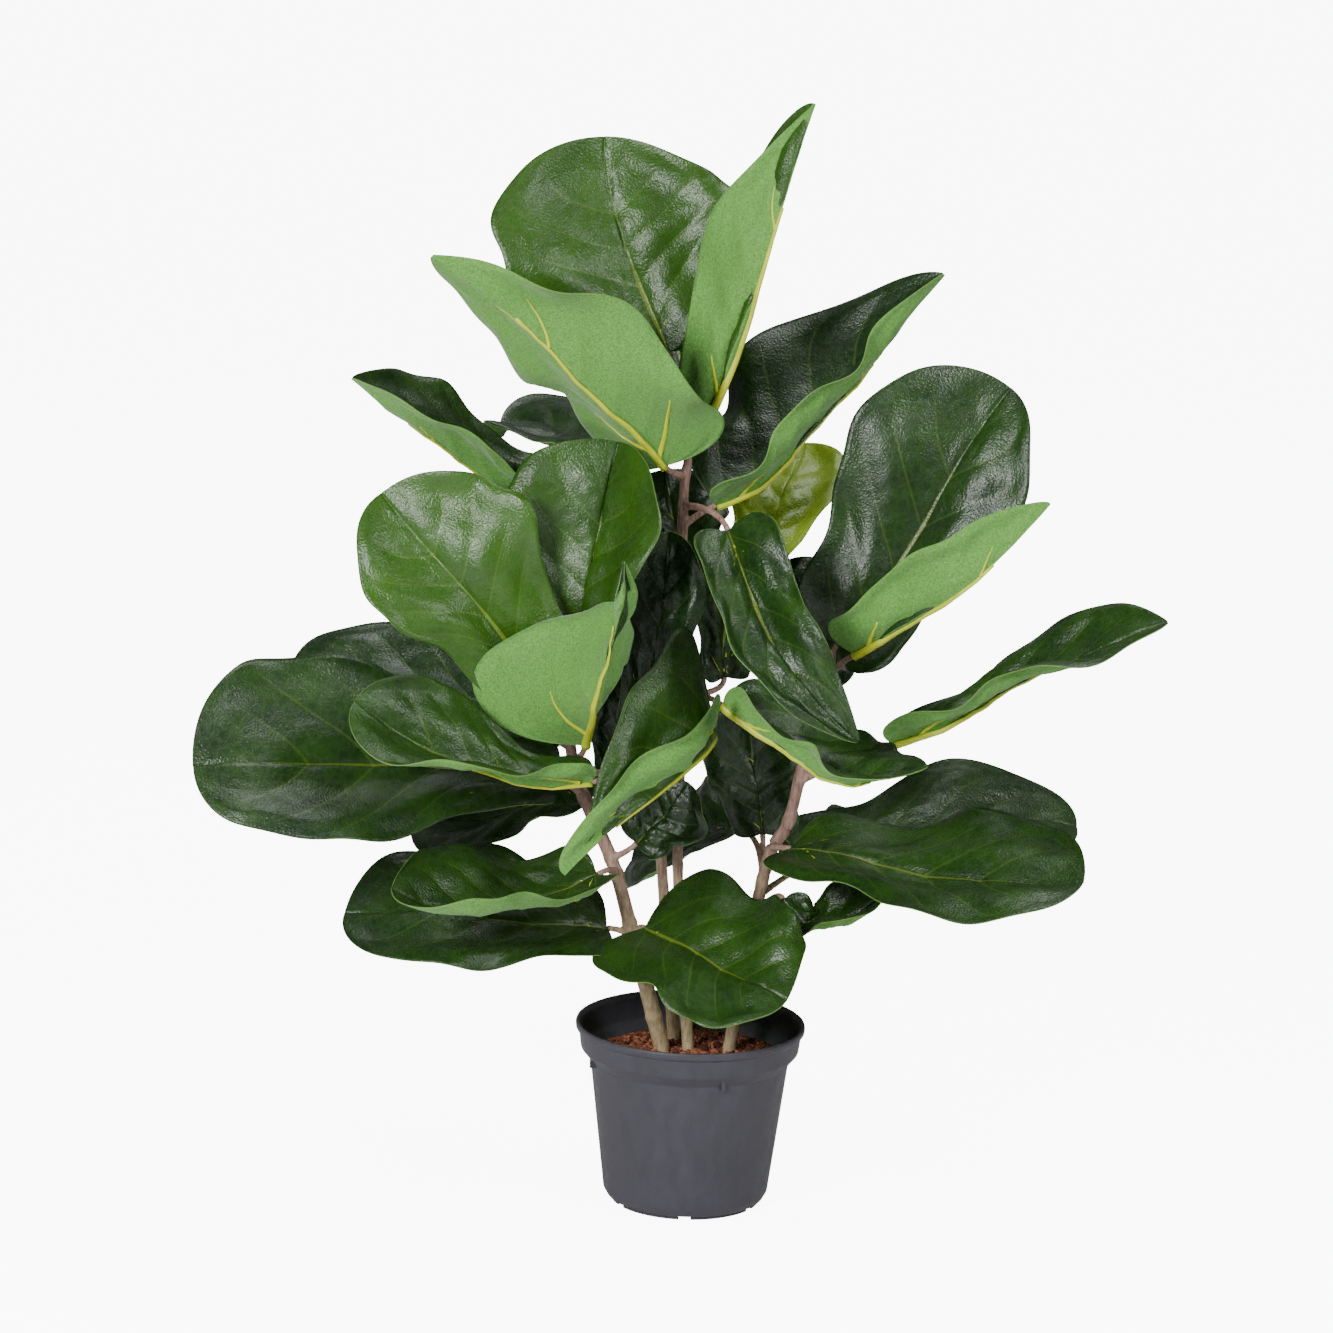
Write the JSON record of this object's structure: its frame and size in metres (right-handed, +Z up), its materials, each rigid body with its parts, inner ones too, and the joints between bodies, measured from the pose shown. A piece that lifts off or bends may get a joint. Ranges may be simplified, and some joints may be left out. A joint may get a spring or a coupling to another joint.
{
  "type": "potted fiddle leaf fig",
  "caption": "Free-standing fiddle leaf fig with broad wavy leaves on slim branching stems, rooted in soil in a round tapered nursery pot.",
  "frame": {"origin": "centre of the pot's underside, on the surface it stands on", "axes": "+Z up along the pot's axis; -Y is the plant's front, +X is to the viewer's right"},
  "size_m": [0.6346, 0.3739, 0.7495],
  "materials": {
    "pot": "moulded dark grey polypropylene, matt",
    "soil": "loose red-brown coir crumbs, matt",
    "bark": "grey-brown young bark with leaf scars, satin",
    "leaf": "dark green waxy upper side, pale matt underside with yellow-green ribs"
  },
  "bodies": {
    "root": {"pot": "pot", "soil": "soil", "stem_left": "bark", "stem_back": "bark", "stem_centre": "bark", "stem_right": "bark", "crown_back": "leaf", "crown_left": "leaf", "crown_right": "leaf", "upper_right": "leaf", "upper_left": "leaf", "upper_rear": "leaf", "middle_front": "leaf", "left_front": "leaf", "left_curl": "leaf", "left_rear": "leaf", "left_long": "leaf", "left_cup": "leaf", "front_fold": "leaf", "centre_low": "leaf", "low_left_rear": "leaf", "low_left_front": "leaf", "low_left_flat": "leaf", "low_front": "leaf", "low_rear": "leaf", "centre_shade": "leaf", "right_droop": "leaf", "right_cup": "leaf", "low_right_up": "leaf", "upper_right_rear": "leaf", "right_tall": "leaf", "right_fold": "leaf", "right_long": "leaf", "low_right_rear": "leaf", "low_right_front": "leaf", "low_right_under": "leaf", "right_shade": "leaf", "droop_shade": "leaf", "left_shade": "leaf", "rear_high": "leaf", "rear_left": "leaf", "rear_right": "leaf", "rear_low_left": "leaf", "rear_low_right": "leaf", "centre_rear": "leaf"}
  },
  "joints": []
}
